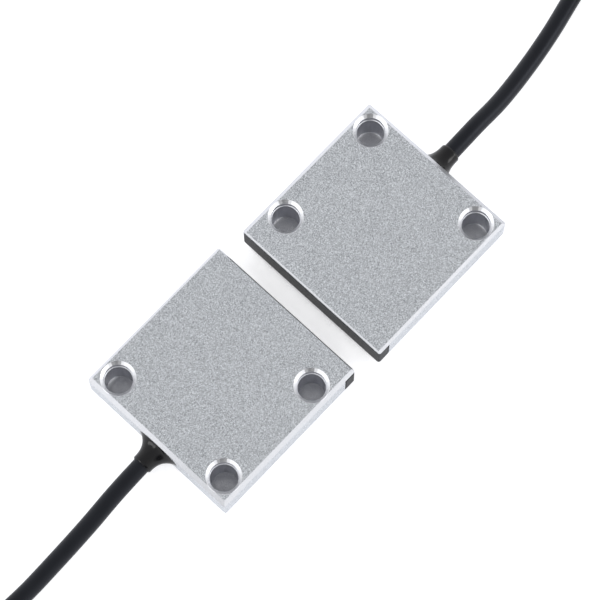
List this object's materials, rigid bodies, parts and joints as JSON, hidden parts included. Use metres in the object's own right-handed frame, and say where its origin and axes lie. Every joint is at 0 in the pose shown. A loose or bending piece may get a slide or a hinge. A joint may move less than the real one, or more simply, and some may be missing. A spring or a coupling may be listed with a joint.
{
  "type": "door contact sensor",
  "caption": "Pair of flat square metal sensor halves facing each other across a gap, each with screw holes, a dark front window and a flexible lead.",
  "frame": {"origin": "on the mounting plane, midway between the two housings' sensing faces and centred on the pair's width", "axes": "+X across the sensing gap from the frame half to the door half, +Y along the gap, +Z out of the mounting plane towards the screw heads"},
  "size_m": [0.3557, 0.0451, 0.0133],
  "materials": {
    "blasted_aluminium": "bead-blasted, with polished bevels",
    "window_plastic": "moulded, fine matt texture",
    "black_resin": "cast epoxy, glossy",
    "board_green": "solder mask over glass laminate",
    "ferrite": "sintered ferrite, matt",
    "enamelled_copper": "enamelled copper wire",
    "chip_black": "moulded epoxy",
    "capacitor_tan": "ceramic",
    "tantalum_yellow": "moulded epoxy",
    "lead_jacket": "extruded PVC, satin",
    "tinned_brass": "tinned",
    "tie_nylon": "moulded nylon",
    "wire_white": "PVC insulation",
    "wire_brown": "PVC insulation",
    "wire_green": "PVC insulation",
    "wire_yellow": "PVC insulation"
  },
  "bodies": {
    "frame_half": {"frame_cable_boot": "black_resin", "frame_cable_ferrule": "tinned_brass", "frame_cable_stub": "lead_jacket", "frame_circuit_board": "board_green", "frame_coil": "enamelled_copper", "frame_controller_chip": "chip_black", "frame_end_wire_brown": "wire_brown", "frame_end_wire_green": "wire_green", "frame_end_wire_white": "wire_white", "frame_end_wire_yellow": "wire_yellow", "frame_ferrite_rod": "ferrite", "frame_hank_tie": "tie_nylon", "frame_housing": "blasted_aluminium", "frame_inner_wire_brown": "wire_brown", "frame_inner_wire_green": "wire_green", "frame_inner_wire_white": "wire_white", "frame_inner_wire_yellow": "wire_yellow", "frame_lead": "lead_jacket", "frame_lead_hank": "lead_jacket", "frame_lead_tail": "lead_jacket", "frame_potting": "black_resin", "frame_smoothing_capacitor": "tantalum_yellow", "frame_tuning_capacitor": "capacitor_tan", "frame_window": "window_plastic"},
    "door_half": {"door_cable_boot": "black_resin", "door_cable_ferrule": "tinned_brass", "door_cable_stub": "lead_jacket", "door_circuit_board": "board_green", "door_coil": "enamelled_copper", "door_controller_chip": "chip_black", "door_end_wire_brown": "wire_brown", "door_end_wire_green": "wire_green", "door_end_wire_white": "wire_white", "door_end_wire_yellow": "wire_yellow", "door_ferrite_rod": "ferrite", "door_hank_tie": "tie_nylon", "door_housing": "blasted_aluminium", "door_inner_wire_brown": "wire_brown", "door_inner_wire_green": "wire_green", "door_inner_wire_white": "wire_white", "door_inner_wire_yellow": "wire_yellow", "door_lead": "lead_jacket", "door_lead_hank": "lead_jacket", "door_lead_tail": "lead_jacket", "door_potting": "black_resin", "door_smoothing_capacitor": "tantalum_yellow", "door_tuning_capacitor": "capacitor_tan", "door_window": "window_plastic"}
  },
  "joints": [
    {"name": "door_opening", "type": "slide", "parent": "frame_half", "child": "door_half", "axis": [1, 0, 0], "range_m": [-0.0042, 0.06]}
  ]
}
